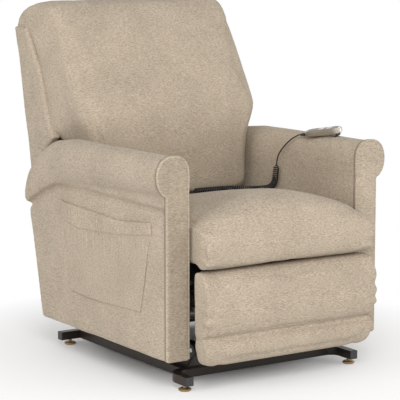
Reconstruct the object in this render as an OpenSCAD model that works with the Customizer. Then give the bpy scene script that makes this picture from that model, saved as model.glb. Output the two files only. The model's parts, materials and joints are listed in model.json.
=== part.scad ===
// Lift recliner chair: a powered steel lift base under an upholstered chair
// whose footrest opens and whose back reclines. Millimetres, +Z up, the
// chair faces -Y, and the origin is on the floor under the middle.

/* [Seat and arms] */
// Clear width between the two arms
seat_gap = 578; // [560:1:590]
// Thickness of an arm's side panel
arm_thick = 68; // [62:1:74]
// Height of the top of the arm rolls
arm_top = 657; // [645:1:665]
// How far the arm roll stands out over the side panel
roll_out = 29; // [20:1:34]
// Underside of the upholstered body above the floor
body_low = 91; // [88:1:94]

/* [Back] */
// Angle of the back's rear face from upright
back_lean = 12.7; // [11:0.1:14]
// Half width of the back above the arms
back_half = 328; // [320:1:334]

/* [Base] */
// Side of the square steel tube
tube = 25; // [22:1:28]
// Height of the levelling glides under the tube
glide_h = 17; // [15:1:19]

/* [Linkages] */
// Radius of the pivot pins
pin_r = 6; // [5:0.5:7]
// Width of the lift links
lift_w = 38; // [34:1:40]
// Width of the legrest links
leg_w = 22; // [18:1:24]

/* [Handset cord] */
// Diameter of the handset's cable
cable_d = 4; // [3.6:0.1:4.2]
// Number of curls in the curly stretch
curls = 54; // [34:1:55]
// Outer diameter of the curls
curl_od = 20; // [17:0.5:20.5]

/* [Hidden] */

fabric = [0.74, 0.68, 0.58];
steel = [0.16, 0.15, 0.14];
zinc = [0.72, 0.72, 0.70];
wood = [0.72, 0.56, 0.38];
plastic = [0.12, 0.12, 0.13];
silver = [0.70, 0.69, 0.66];
eps = 0.05;
run_gap = 0.05;                       // radial clearance of a pin in its hole
arm_in = seat_gap / 2;
arm_out = arm_in + arm_thick;
roll_reach = arm_out + roll_out;
arm_front_y = -421;
front_skin = 16;                      // thickness of the arm's front panel
tube_low = glide_h;
tube_top = glide_h + tube;
foot_x = 286;
base_front_y = -325;
base_rear_y = 268;

// ---- helpers ---------------------------------------------------------------
module pair() {
    children();
    mirror([1, 0, 0]) children();
}

// An outline in the Y-Z plane, made solid from x0 to x1.
module slab(x0, x1) {
    translate([x0, 0, 0]) rotate([90, 0, 90]) linear_extrude(x1 - x0) children();
}

// A flat link in the Y-Z plane with round ends, a little slimmer between them.
module bar(p, q, w) {
    d = q - p;
    slim = 1.8;
    translate(p) circle(d = w, $fn = 40);
    translate(q) circle(d = w, $fn = 40);
    translate(p) rotate(atan2(d[1], d[0])) translate([0, slim / 2 - w / 2]) square([norm(d), w - slim]);
}

module hole(p, r) {
    translate(p) circle(r, $fn = 40);
}

// A pin along X through a place in the Y-Z plane, with a head at x1.
module pin(p, x0, x1) {
    translate([x0, p[0], p[1]]) rotate([0, 90, 0]) cylinder(r = pin_r, h = x1 - x0, $fn = 40);
    translate([x1, p[0], p[1]]) rotate([0, 90, 0]) cylinder(r = pin_r + 3, h = 3, $fn = 40);
}

module rod_x(p, r, x0, x1) {
    translate([x0, p[0], p[1]]) rotate([0, 90, 0]) cylinder(r = r, h = x1 - x0, $fn = 48);
}

function smooth(a, b, c, d, t) = 0.5 * (2 * b + (c - a) * t
    + (2 * a - 5 * b + 4 * c - d) * t * t + (3 * b - a - 3 * c + d) * t * t * t);

// A closed smooth curve through points, n steps between two of them.
function closed_curve(p, n) = let(m = len(p)) [for (i = [0:m - 1], j = [0:n - 1])
    smooth(p[(i + m - 1) % m], p[i], p[(i + 1) % m], p[(i + 2) % m], j / n)];

// An open smooth curve through points, n steps between two of them.
function open_curve(p, n) = let(m = len(p)) concat([for (i = [0:m - 2], j = [0:n - 1])
    smooth(p[max(i - 1, 0)], p[i], p[i + 1], p[min(i + 2, m - 1)], j / n)], [p[m - 1]]);

function middle(r) = let(n = len(r)) [for (k = [0:2]) [for (q = r) q[k]] * [for (q = r) 1 / n]];

// A closed skin over rings of points, each end closed by a fan of triangles.
module skin(rings) {
    m = len(rings);
    n = len(rings[0]);
    points = concat([for (r = rings) each r], [middle(rings[0]), middle(rings[m - 1])]);
    sides = [for (i = [0:m - 2], j = [0:n - 1]) let(a = i * n + j, b = i * n + (j + 1) % n)
        each [[a, b, b + n], [a, b + n, a + n]]];
    first = [for (j = [0:n - 1]) [m * n, (j + 1) % n, j]];
    last = [for (j = [0:n - 1]) [m * n + 1, (m - 1) * n + j, (m - 1) * n + (j + 1) % n]];
    polyhedron(points, concat(sides, first, last), convexity = 8);
}

function unit(v) = v / norm(v);
function tangents(p) = let(m = len(p))
    [for (i = [0:m - 1]) unit(p[min(i + 1, m - 1)] - p[max(i - 1, 0)])];
function carry(n, t) = unit(n - t * (n * t));

// One direction square to the route at each point, carried along it without twist.
function carried(t, first) =
    [for (i = 0, n = carry(first, t[0]); i < len(t); i = i + 1, n = i < len(t) ? carry(n, t[i]) : n) n];

// Rings of a round tube along a route.
function tube_rings(p, r, sides, first) = let(t = tangents(p), n = carried(t, first))
    [for (i = [0:len(p) - 1]) let(b = cross(t[i], n[i]))
        [for (k = [0:sides - 1]) let(a = -360 * k / sides) p[i] + r * (cos(a) * n[i] + sin(a) * b)]];

// ---- lift linkage places (y, z) --------------------------------------------
front_low = [-330, 93];               // front link on the base
front_high = [-54, 95];               // front link on the carriage
rear_low = [-240, 100];               // rear link on the base
rear_high = [140, 95];                // rear link on the carriage, the opened pivot
ear_x = 219;
rear_link_x = 207;
front_link_x = 193;
plate_x = 181;
link_t = 8;
torsion_at = [-290, 93];
crank_pin = [-285, 171];
anchor_pin = [245, 62];
actuator_len = norm(crank_pin - anchor_pin);
actuator_tilt = -atan2(crank_pin[1] - anchor_pin[1], anchor_pin[0] - crank_pin[0]);
open_slack = 3.5;                     // clearance of the opened lift pivot

// ---- base ------------------------------------------------------------------
bend_r = 40;                          // centre line of the front tube's bends
stub_end = -418;

module square_run(from, to) {
    translate([from[0], from[1], tube_low]) cube([to[0] - from[0], to[1] - from[1], tube]);
}

module base_front_tube() {
    inner = foot_x - bend_r;
    color(steel) {
        square_run([-inner, base_front_y - tube / 2], [inner, base_front_y + tube / 2]);
        pair() {
            translate([inner, base_front_y - bend_r, tube_low])
                rotate_extrude(angle = 90, $fn = 64) translate([bend_r - tube / 2, 0]) square(tube);
            square_run([foot_x - tube / 2, stub_end], [foot_x + tube / 2, base_front_y - bend_r]);
        }
    }
}

module base_rear_tube() {
    color(steel) square_run([-312, base_rear_y - tube / 2], [312, base_rear_y + tube / 2]);
}

module base_rails() {
    color(steel) pair() square_run([225, base_front_y + tube / 2], [250, base_rear_y - tube / 2]);
}

// Upright ears on the rails that carry the lower lift pivots.
module base_ears() {
    color(steel) pair() slab(ear_x, ear_x + 6) difference() {
        union() {
            bar(front_low, rear_low, lift_w);
            polygon([[-290, tube_low + 1], [-225, tube_low + 1], [-222, 100], [-345, 88]]);
        }
        hole(front_low, pin_r + run_gap);
        hole(rear_low, pin_r + run_gap);
    }
}

module levelling_glides() {
    for (p = [[-foot_x, -394], [foot_x, -394], [-278, base_rear_y], [278, base_rear_y]])
        translate([p[0], p[1], 0]) {
            color([0.45, 0.36, 0.22]) rotate_extrude($fn = 48)
                polygon([[0, 0], [16, 0], [18, 3], [18, 6], [12, 9], [0, 9]]);
            color(zinc) cylinder(r = 5, h = glide_h, $fn = 32);
        }
}

module tube_end_caps() {
    lip = 2;
    color(plastic) pair() {
        translate([foot_x - tube / 2, stub_end - lip, tube_low]) cube([tube, lip, tube]);
        translate([312, base_rear_y - tube / 2, tube_low]) cube([lip, tube, tube]);
    }
}

module base_pivot_pins() {
    color(zinc) pair() {
        translate([ear_x + 6, 0, 0]) mirror([1, 0, 0]) pin(front_low, 0, ear_x + 6 - front_link_x + 1);
        translate([ear_x + 6, 0, 0]) mirror([1, 0, 0]) pin(rear_low, 0, ear_x + 6 - rear_link_x + 1);
    }
}

module actuator_anchor() {
    color(steel) {
        pair() slab(18, 23) difference() {
            union() {
                hole(anchor_pin, 14);
                polygon([[245, 48], [255.4, tube_top - 1], [255.4, tube_low + 1], [235, 50], [240, 75],
                    [255, 72]]);
            }
            hole(anchor_pin, pin_r + run_gap);
        }
        slab(-23, 23) polygon([[252, tube_low], [base_rear_y - tube / 2, tube_low],
            [base_rear_y - tube / 2, tube_top], [252, tube_top]]);
    }
    color(zinc) translate([0, 0, 0]) pin(anchor_pin, -25, 24);
}

// Power supply on the rear tube, with an inlet for a mains lead.
module power_box() {
    color(plastic) difference() {
        union() {
            translate([-200, 196, tube_top]) cube([128, 80, 42]);
            translate([-206, 226, tube_top]) cube([140, 30, 5]);
        }
        translate([-160, 264, tube_top + 12]) cube([30, 20, 20]);
        for (x = [-190:12:-82]) translate([x, 206, tube_top + 38]) cube([5, 44, 10]);
    }
}

// ---- lift links --------------------------------------------------------------
module front_lift_links() {
    color(steel) pair() slab(front_link_x, front_link_x + link_t) difference() {
        bar(front_low, front_high, lift_w);
        hole(front_low, pin_r + run_gap);
        hole(front_high, pin_r + run_gap);
    }
}

// The tube that ties the front links, and the crank that the actuator pushes.
module lift_torsion_tube() {
    color(steel) {
        rod_x(torsion_at, 12.5, -front_link_x, front_link_x);
        pair() slab(14, 20) difference() {
            bar(torsion_at, crank_pin, 30);
            hole(crank_pin, pin_r + run_gap);
        }
    }
    color(zinc) pin(crank_pin, -22, 21);
}

module rear_lift_links() {
    color(steel) pair() slab(rear_link_x, rear_link_x + link_t) difference() {
        bar(rear_low, rear_high, lift_w);
        hole(rear_low, pin_r + run_gap);
        hole(rear_high, pin_r + open_slack);
    }
}

// ---- actuator, drawn along -Y from its anchor and then tilted ----------------
module along_actuator() {
    translate([0, anchor_pin[0], anchor_pin[1]]) rotate([actuator_tilt, 0, 0]) children();
}

module actuator_motor() {
    color(plastic) along_actuator() difference() {
        union() {
            rotate([0, 90, 0]) translate([0, 0, -14]) cylinder(r = 14, h = 28, $fn = 40);
            translate([-14, -40, -14]) cube([28, 40, 28]);
            translate([-27, -104, -32]) cube([54, 74, 60]);
            translate([27, -67, -3]) rotate([0, 90, 0]) cylinder(r = 24, h = 96, $fn = 56);
            translate([123, -67, -3]) rotate([0, 90, 0]) cylinder(r = 14, h = 6, $fn = 40);
        }
        rotate([0, 90, 0]) translate([0, 0, -20]) cylinder(r = pin_r + run_gap, h = 40, $fn = 40);
    }
}

tube_from = 104;
tube_to = 366;

module actuator_tube() {
    color(zinc) along_actuator() difference() {
        translate([0, -tube_from, 0]) rotate([90, 0, 0])
            cylinder(r = 18, h = tube_to - tube_from, $fn = 56);
        translate([0, -tube_from - 8, 0]) rotate([90, 0, 0])
            cylinder(r = 10.3, h = tube_to - tube_from, $fn = 48);
    }
}

// The push rod ends in an eye with an upright slot, the opened pivot.
slot_half = 7;
rod_lift = 6;
rod_slack = 2.2;                      // clearance of the opened crank pivot

module actuator_rod() {
    color(zinc) along_actuator() {
        translate([0, -250, 0]) rotate([90, 0, 0])
            cylinder(r = 10, h = actuator_len - 250 - 22, $fn = 48);
        slab(-8, 8) difference() {
            bar([-actuator_len, rod_lift - slot_half], [-actuator_len, rod_lift + slot_half], 37);
            bar([-actuator_len, rod_lift - slot_half], [-actuator_len, rod_lift + slot_half],
                2 * (pin_r + rod_slack) + 1.8);
        }
        slab(-8, 8) translate([-actuator_len + 16, -10]) square([14, 20]);
    }
}

// ---- carriage and recliner mechanism ------------------------------------------
cross_front = [-160, 205];
cross_rear = [170, 128];

module carriage_plates() {
    color(steel) pair() slab(plate_x, plate_x + 6) difference() {
        union() {
            bar(front_high, rear_high, lift_w);
            bar([-54, 95], [-147, 217], 40);
            bar([-147, 217], [182, 142], 40);
            bar([140, 95], [182, 142], 40);
        }
        hole(front_high, pin_r + run_gap);
        hole(rear_high, pin_r + run_gap);
        translate(cross_front) square(tube);
        translate(cross_rear) square(tube);
    }
}

module carriage_cross_tubes() {
    color(steel) for (p = [cross_front, cross_rear])
        translate([-arm_in, p[0], p[1]]) cube([2 * arm_in, tube, tube]);
}

swing_pivot = [-200, 325];            // swing link on the mechanism plate
knee = [-283, 132];                   // swing link to reach link
reach_pivot = [-410, 300];            // reach link to footrest bracket
control_low = [-310, 95];             // swing link to control link
control_high = [-405, 262];           // control link to footrest bracket, opened
back_pivot = [150, 380];
mech_x = 274;
mech_t = 4;

module chair_pivot_pins() {
    color(zinc) pair() {
        pin(front_high, plate_x, front_link_x + link_t + 1);
        pin(rear_high, plate_x, rear_link_x + link_t + 1);
        translate([mech_x + mech_t, 0, 0]) mirror([1, 0, 0]) {
            pin(swing_pivot, 0, mech_x + mech_t - 257);
            pin(back_pivot, 0, mech_x + mech_t - 265);
        }
    }
}

module mechanism_plates() {
    color(steel) pair() slab(mech_x, mech_x + mech_t) difference() {
        union() {
            polygon([[-225, 300], [-175, 240], [150, 240], [235, 262], [235, 300],
                [168, 380], [132, 380], [110, 342], [-200, 343], [-220, 338]]);
            hole(swing_pivot, 18);
            hole(back_pivot, 18);
        }
        hole(swing_pivot, pin_r + run_gap);
        hole(back_pivot, pin_r + run_gap);
        for (y = [-110, 60]) bar([y, 272], [y + 66, 272], 24);
        hole([-150, 310], 11 + run_gap);
        hole([100, 310], 11 + run_gap);
    }
}

// Spacers and screws that fasten the mechanism to the arms.
module mechanism_bolts() {
    color(zinc) pair() for (p = [[-100, 325], [30, 325], [180, 300]]) {
        rod_x(p, 9, mech_x + mech_t, arm_in);
        rod_x(p, 6, mech_x - 4, mech_x);
    }
}

module seat_cross_tubes() {
    color(steel) for (p = [[-150, 310], [100, 310]]) rod_x(p, 11, -mech_x - mech_t, mech_x + mech_t);
}

rail_x = 205;
rail_t = 22;
rail_low = 292;
rail_h = 50;

module seat_frame() {
    color(wood) difference() {
        union() {
            pair() translate([rail_x, -405, rail_low]) cube([rail_t, 510, rail_h]);
            translate([-rail_x, -405, rail_low]) cube([2 * rail_x, rail_t, rail_h]);
            translate([-rail_x, 83, rail_low]) cube([2 * rail_x, rail_t, rail_h]);
        }
        rod_x([-150, 310], 11 + run_gap, -240, 240);
        rod_x([100, 310], 11 + run_gap, -240, 240);
    }
}

// Sinuous springs from the front rail to the rear rail.
spring_waves = 9;
spring_d = 4;

module seat_springs() {
    span = 478;
    color(zinc) for (x = [-150, -75, 0, 75, 150])
        skin(tube_rings([for (i = [0:spring_waves * 8]) let(s = i / (spring_waves * 8))
            [x + 20 * sin(360 * spring_waves * s), -389 + span * s,
                rail_low + rail_h + spring_d / 2 + 4.2 * (1 - pow(1 - 2 * s, 8))]],
            spring_d / 2, 4, [0, 0, 1]));
}

// ---- arms ----------------------------------------------------------------------
roll_c = (arm_in + roll_reach) / 2;
roll_r = (roll_reach - arm_in) / 2 + 1;
panel_rear = [[298, body_low], [335, 244], [355, 335], [370, 394], [373, 425]];
roll_seam = [[373, 425], [330, 449], [272, 477], [190, 505], [100, 523], [-50, 534], [-250, 541],
    [-405, 548]];

module arm_panel() {
    slab(arm_in, arm_out) polygon(concat([[-405, body_low]], panel_rear,
        [for (i = [1:len(roll_seam) - 1]) roll_seam[i]]));
}

// Each ring of the roll stands on its seam point and reaches up to its crest point.
roll_rings = [
    [[-405, 548.5], [-405, arm_top]], [[-250, 541.5], [-250, arm_top - 1]],
    [[-50, 534.5], [-50, arm_top - 3]], [[100, 523.5], [112, arm_top - 5]],
    [[190, 505.5], [210, 640]], [[272, 477.5], [290, 602]],
    [[330, 449.5], [342, 552]], [[358, 434], [366, 497]], [[371, 426.8], [373.5, 450]]];
// How much of its full reach the roll keeps on its outer side, ring by ring.
roll_taper = [1, 1, 1, 1, 1, 0.97, 0.9, 0.8, 0.68];
// Section of the roll: x as a share of its half width, height as a share of its rise.
roll_section = [[-0.96, 0], [-0.98, 0.25], [-0.99, 0.5], [-0.93, 0.72], [-0.74, 0.88], [-0.42, 0.975],
    [0, 1], [0.42, 0.97], [0.74, 0.87], [0.94, 0.7], [1, 0.5], [0.92, 0.28], [0.68, 0.1], [0.41, 0]];

module arm_roll() {
    skin([for (i = [0:len(roll_rings) - 1]) let(q = roll_rings[i]) [for (s = roll_section)
        [roll_c + s[0] * roll_r * (s[0] > 0 ? roll_taper[i] : 1), q[0][0] + s[1] * (q[1][0] - q[0][0]),
            q[0][1] + s[1] * (q[1][1] - q[0][1])]]]);
}

// The flat scroll-shaped panel that closes an arm's front.
module arm_front() {
    rise = arm_top - 548;
    scroll = [for (s = roll_section) [roll_c + s[0] * roll_r, 548 + s[1] * rise]];
    translate([0, arm_front_y + front_skin - 0.3, 0]) rotate([90, 0, 0]) linear_extrude(front_skin - 0.3)
        polygon(concat([[arm_out, body_low], [arm_in, body_low]], scroll));
}

module right_arm_panel() { color(fabric) mirror([1, 0, 0]) arm_panel(); }
module left_arm_panel() { color(fabric) arm_panel(); }
module right_arm_roll() { color(fabric) mirror([1, 0, 0]) arm_roll(); }
module left_arm_roll() { color(fabric) arm_roll(); }
module right_arm_front() { color(fabric) mirror([1, 0, 0]) arm_front(); }
module left_arm_front() { color(fabric) arm_front(); }

// Cloth pocket sewn on the outside of the sitter's right arm, with a deep hem.
module side_pocket() {
    color(fabric) {
        slab(-arm_out - 3, -arm_out) polygon([[158, 430], [-338, 432], [-320, 386], [-303, 302], [-280, 209],
            [-187, 204], [-90, 201], [0, 198], [117, 204]]);
        slab(-arm_out - 6, -arm_out) polygon([[166, 470], [151, 464], [59, 461], [-37, 458], [-151, 452],
            [-245, 459], [-338, 470], [-341, 437], [-250, 424], [-151, 412], [-39, 404], [69, 399],
            [144, 413], [162, 432]]);
    }
}

module rear_apron() {
    color(fabric) slab(-arm_in + 2, arm_in - 2)
        polygon([[268, 95], [291, 210], [325, 335], [313, 335], [279, 210], [256, 95]]);
}

// ---- soft parts ------------------------------------------------------------------
// Stations across a cushion: share of the half width, and share of the full section.
stations = [[-1, 0.80], [-0.97, 0.90], [-0.9, 0.955], [-0.75, 0.985], [-0.4, 0.998], [0, 1],
    [0.4, 0.998], [0.75, 0.985], [0.9, 0.955], [0.97, 0.90], [1, 0.80]];

seat_middle = [-200, 440];
seat_profile = closed_curve([[98, 356], [101, 400], [96, 452], [60, 469], [-100, 502], [-280, 532],
    [-395, 540], [-468, 516], [-506, 462], [-515, 408], [-500, 362], [-440, 353], [-200, 350.5],
    [60, 350.5]], 2);
seat_half = 282;

// The seat's crown: share of the rise above the middle line, by the share of the half width.
seat_crown = [[0, 1], [0.25, 0.955], [0.5, 0.81], [0.75, 0.61], [0.9, 0.45], [0.97, 0.34], [1, 0.24]];
seat_across = [-1, -0.97, -0.9, -0.75, -0.5, -0.25, 0, 0.25, 0.5, 0.75, 0.9, 0.97, 1];

module seat_cushion() {
    color(fabric) skin([for (s = seat_across) let(k = lookup(s, stations), crown = lookup(abs(s), seat_crown))
        [for (q = seat_profile) let(rise = q[1] - seat_middle[1])
            [s * seat_half, seat_middle[0] + (q[0] - seat_middle[0]) * (0.85 + 0.15 * k),
                max(350.5, seat_middle[1] + rise * (rise > 0 ? crown : 0.7 + 0.3 * k))]]]);
}

pad_middle = [-455, 250];
board_front = -438.1;
pad_profile = closed_curve([[-439, 163], [-439, 250], [-439, 334], [-474, 338], [-504, 314], [-515, 260],
    [-510, 200], [-488, 165]], 3);
pad_half = 279;
pad_seam = 158;                       // height of the seam between the pad and the band

module footrest_pad() {
    color(fabric) skin([for (s = stations) [for (q = pad_profile)
        [s[0] * pad_half, min(board_front, pad_middle[0] + (q[0] - pad_middle[0]) * s[1]),
            max(pad_seam + 0.1, pad_middle[1] + (q[1] - pad_middle[1]) * (0.8 + 0.2 * s[1]))]]]);
}

band_middle = [-455, 120];
band_profile = closed_curve([[-439, 84], [-439, 120], [-439, 157], [-470, 158], [-497, 145], [-504, 118],
    [-494, 90], [-465, 80]], 3);

// The band's lower corners are rounded off.
band_round = 50;
function band_low(x) = let(e = max(0, abs(x) - (pad_half - 2 - band_round)))
    80 + band_round - sqrt(max(0, band_round * band_round - e * e));

module footrest_band() {
    color(fabric) skin([for (s = stations) let(x = s[0] * (pad_half - 2), low = band_low(x))
        [for (q = band_profile)
            [x, min(board_front, band_middle[0] + (q[0] - band_middle[0]) * s[1]),
                min(pad_seam - 0.1, low + (q[1] - 80) * (pad_seam - low) / (pad_seam - 80))]]]);
}

back_profile = closed_curve([[250, 434], [256, 520], [266, 620], [295, 688], [353, 838], [432, 957],
    [502, 960], [498, 990], [466, 1018], [400, 1040], [338, 1036], [282, 994], [226, 918], [172, 830],
    [124, 748], [100, 680], [106, 600], [113, 520], [124, 452], [170, 434]], 2);
back_middle = [[240, 430], [280, 700], [400, 960]];

function back_core(z) = z < 700 ? 235 + (z - 430) * 0.12 : 267 + (z - 700) * 0.42;
// The pillow widens over the arms, further down at its rear than at its front.
function back_width(y, z) = let(low = lookup(y, [[180, 657], [262, 620], [300, 606]]),
    over = min(1, max(0, (z - low) / 50)), rear = min(1, max(0, (y - back_core(z) + 60) / 80)))
    279 + over * (33 + 12 * rear);

// Where each step of the pillow's front has its partner on its rear, bottom to top.
back_steps = [0, 0.4, 0.8, 1.2, 1.6, 2, 3, 4, 4.7, 5.4, 6, 6.7, 7.4, 8, 8.6, 9.2, 9.6, 10, 10.6, 11.2,
    11.6, 12, 13, 13.5, 14];
back_last = len(back_steps) - 1;
back_across = 6;
function back_rung(i) = let(t = back_steps[i], a = floor(t))
    [back_profile[a] + (back_profile[min(a + 1, 14)] - back_profile[a]) * (t - a), back_profile[39 - i]];
function back_point(q, s, k) = let(z = 740 + (q[1] - 740) * (0.9 + 0.1 * k), c = back_core(z))
    [s * back_width(q[0], z), c + (q[0] - c) * (q[0] < c ? 0.5 + 0.5 * k : 1), z];
function back_ring(s, k) = concat([for (i = [0:back_last]) back_point(back_rung(i)[0], s, k)],
    [for (i = [back_last:-1:0]) back_point(back_rung(i)[1], s, k)]);
function back_end(s, k) = [for (i = [1:back_last - 1], j = [1:back_across - 1]) let(g = back_rung(i))
    back_point(g[0] + (g[1] - g[0]) * j / back_across, s, k)];

// The point at step i and place j of an end: on the ring at both sides, else inside the end.
function back_id(i, j, ring, inner) = j == 0 ? ring + i : j == back_across ? ring + 2 * back_last + 1 - i
    : inner + (i - 1) * (back_across - 1) + j - 1;
function back_cap(ring, inner) = let(n = back_last, m = back_across) concat(
    [for (i = [1:n - 2], j = [0:m - 1]) let(a = back_id(i, j, ring, inner), b = back_id(i + 1, j, ring, inner),
        c = back_id(i + 1, j + 1, ring, inner), d = back_id(i, j + 1, ring, inner))
        each [[a, b, c], [a, c, d]]],
    [for (j = [0:m - 1]) [ring, back_id(1, j, ring, inner), back_id(1, j + 1, ring, inner)]],
    [[ring, ring + 2 * n, ring + 2 * n + 1]],
    [for (j = [0:m - 1]) [ring + n, back_id(n - 1, j + 1, ring, inner), back_id(n - 1, j, ring, inner)]],
    [[ring + n, ring + n + 1, back_id(n - 1, m, ring, inner)]]);

module back_cushion() {
    m = len(stations);
    n = 2 * back_last + 2;
    rings = [for (s = stations) each back_ring(s[0], s[1])];
    low_end = back_end(-1, stations[0][1]);
    sides = [for (i = [0:m - 2], j = [0:n - 1]) let(a = i * n + j, b = i * n + (j + 1) % n)
        each [[a, b, b + n], [a, b + n, a + n]]];
    color(fabric) polyhedron(concat(rings, low_end, back_end(1, stations[m - 1][1])),
        concat(sides, [for (f = back_cap(0, m * n)) [f[0], f[2], f[1]]],
            back_cap((m - 1) * n, m * n + len(low_end))), convexity = 8);
}

// ---- footrest linkage --------------------------------------------------------------
cross_at = [-222, 204];               // tube that ties the two swing links

module legrest_swing_links() {
    color(steel) pair() slab(258, 263) difference() {
        union() {
            bar(swing_pivot, knee, leg_w);
            bar(knee, control_low, leg_w);
            bar([-249, 214], cross_at, 32);
        }
        hole(cross_at, 11);
        hole(swing_pivot, pin_r + run_gap);
        hole(knee, pin_r + run_gap);
        hole(control_low, pin_r + run_gap);
    }
    color(zinc) pair() {
        pin(control_low, 259, 271.5);
        translate([260, 0, 0]) mirror([1, 0, 0]) pin(knee, 0, 10.5);
    }
}

// Ties the two sides together, so that the footrest opens square.
module legrest_cross_tube() {
    color(steel) rod_x(cross_at, 11, -263, 263);
}

module legrest_reach_links() {
    color(steel) pair() slab(250.5, 255.5) difference() {
        bar(knee, reach_pivot, leg_w);
        hole(knee, pin_r + run_gap);
        hole(reach_pivot, pin_r + run_gap);
    }
}

control_slack = 10;                   // clearance of the opened legrest pivot

module legrest_control_links() {
    color(steel) pair() slab(265.5, 270.5) difference() {
        union() {
            bar(control_low, control_high, leg_w);
            hole(control_high, pin_r + control_slack + 5);
        }
        hole(control_low, pin_r + run_gap);
        hole(control_high, pin_r + control_slack);
    }
}

board_rear = -421.5;

module footrest_brackets() {
    color(steel) pair() {
        slab(243, 248) difference() {
            union() {
                bar([-410, 250], reach_pivot, leg_w);
                bar([-410, 262], control_high, leg_w);
                polygon([[board_rear, 110], [-405, 110], [-399, 240], [-399, 311], [board_rear, 316]]);
            }
            hole(reach_pivot, pin_r + run_gap);
            hole(control_high, pin_r + run_gap);
        }
        slab(222, 243) polygon([[board_rear, 110], [-417, 110], [-417, 316], [board_rear, 316]]);
    }
    color(zinc) pair() {
        pin(reach_pivot, 243, 256.5);
        pin(control_high, 243, 271.5);
    }
}

module footrest_board() {
    color(wood) translate([-262, -438, 100]) cube([524, 438 + board_rear, 236]);
}

// ---- back structure --------------------------------------------------------------------
module back_brackets() {
    color(steel) pair() slab(266, 271) difference() {
        union() {
            bar(back_pivot, [262, 420], 34);
            bar([262, 420], [298, 560], 30);
        }
        hole(back_pivot, pin_r + run_gap);
    }
}

frame_front = [[269.5, 470], [274, 600], [308, 688], [368, 838], [424, 930]];
frame_face = [for (q = frame_front) [q[1], q[0]]];
frame_depth = 42;

module back_stile_outline() {
    polygon(concat(frame_front, [for (i = [len(frame_front) - 1:-1:0]) frame_front[i] + [frame_depth, 0]]));
}

module back_frame() {
    color(wood) {
        pair() slab(243, 265.9) back_stile_outline();
        for (z = [474, 640, 890]) intersection() {
            slab(-243, 243) back_stile_outline();
            translate([-243, 200, z]) cube([486, 300, 36]);
        }
    }
}

module back_springs() {
    color(zinc) for (x = [-160, -80, 0, 80, 160])
        skin(tube_rings([for (i = [0:64]) let(s = i / 64)
            [x + 18 * sin(360 * 8 * s),
                lookup(490 + 405 * s, frame_face) - 2.02 - 0.33 * s - 1.5 * sin(180 * s), 490 + 405 * s]],
            spring_d / 2, 4, [0, 1, 0]));
}

rear_line = [[384, 410], [409, 517], [426, 618], [448, 703], [480, 873], [507, 954]];

// Upholstered side of the back, whose lower edge clears the arm's drooping end.
module back_side() {
    slab(303, back_half) polygon(concat([[434, 951.5], [357, 838], [301, 690], [280, 645], [304, 616],
        [350, 570], [388, 505]], [for (i = [1:5]) rear_line[i]]));
}

module right_back_side() { color(fabric) mirror([1, 0, 0]) back_side(); }
module left_back_side() { color(fabric) back_side(); }

// The outside back's lower flap hangs between the arms, on a circle round the back's pivot.
flap_r = norm(rear_line[0] - back_pivot);
flap_line = [for (a = [-8:4:0]) back_pivot + flap_r * [cos(a), sin(a)]];

module outside_back() {
    thick = 14;
    outer = concat(flap_line, rear_line);
    inner = concat([for (q = flap_line) q * (1 - thick / flap_r) + back_pivot * thick / flap_r],
        [for (q = rear_line) q + [-thick, 0]]);
    color(fabric) {
        slab(-286.5, 286.5) polygon(concat([for (i = [0:5]) outer[i]], [for (i = [5:-1:0]) inner[i]]));
        slab(-302.7, 302.7) polygon(concat([for (i = [5:8]) outer[i]], [for (i = [8:-1:5]) inner[i]]));
    }
}

// ---- handset -------------------------------------------------------------------------------
handset_len = 135;
handset_yaw = 13;                     // turned outwards, lifted at the front and leaning to the sitter
handset_tilt = -9.5;
handset_roll = -13;
handset_at = [297, -163, 655.3];
handset_split = 1;

// Share of the full half width along the handset, which has a waist.
function handset_half(s) = 20 * sqrt(max(0, 1 - pow(2 * s - 1, 6))) * (0.92 + 0.08 * cos(360 * s));

module on_handset() {
    translate(handset_at) rotate([0, 0, handset_yaw]) rotate([handset_tilt, 0, 0])
        rotate([0, handset_roll, 0]) children();
}

module handset_outline(inset) {
    points = [for (i = [0:24]) let(s = (1 - cos(180 * i / 24)) / 2) [s, handset_half(s)]];
    offset(delta = -inset) polygon(concat([for (q = points) [q[1], -q[0] * handset_len]],
        [for (i = [23:-1:1]) [-points[i][1], -points[i][0] * handset_len]]));
}

button_places = [-62, -92];
button_r = 7.5;

module handset_lower_shell() {
    color(plastic) on_handset() {
        translate([0, 0, -9]) linear_extrude(3, scale = [1.12, 1.02]) handset_outline(4);
        translate([0, 0, -6]) linear_extrude(6 + handset_split) handset_outline(0.6);
    }
}

module handset_upper_shell() {
    color(silver) on_handset() difference() {
        union() {
            translate([0, 0, handset_split]) linear_extrude(4) handset_outline(0);
            translate([0, 0, handset_split + 4]) linear_extrude(4) handset_outline(3);
        }
        for (y = button_places) translate([0, y, handset_split + 3])
            cylinder(r = button_r + 0.4, h = 20, $fn = 48);
    }
}

// Moulded hook under the front, which hangs the handset on the arm and props it here.
module handset_hook() {
    color(plastic) on_handset() slab(-7, 7)
        polygon([[-90, -9], [-122, -9], [-124, -15], [-119, -17.5], [-102, -17.5], [-102, -15], [-117, -15],
            [-117, -12], [-90, -12]]);
}

module handset_relief() {
    color(plastic) on_handset() translate([0, 24.4, -2]) rotate([90, 0, 0])
        cylinder(r1 = 3, r2 = 6, h = 24, $fn = 32);
}

module button(y) {
    on_handset() translate([0, y, handset_split + 5]) rotate_extrude($fn = 48)
        polygon([[0, 0], [button_r, 0], [button_r, 4], [button_r - 1.2, 5], [3, 5.5], [0, 5.6]]);
}

module up_button() { color(silver) button(button_places[0]); }
module down_button() { color(silver) button(button_places[1]); }

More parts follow.
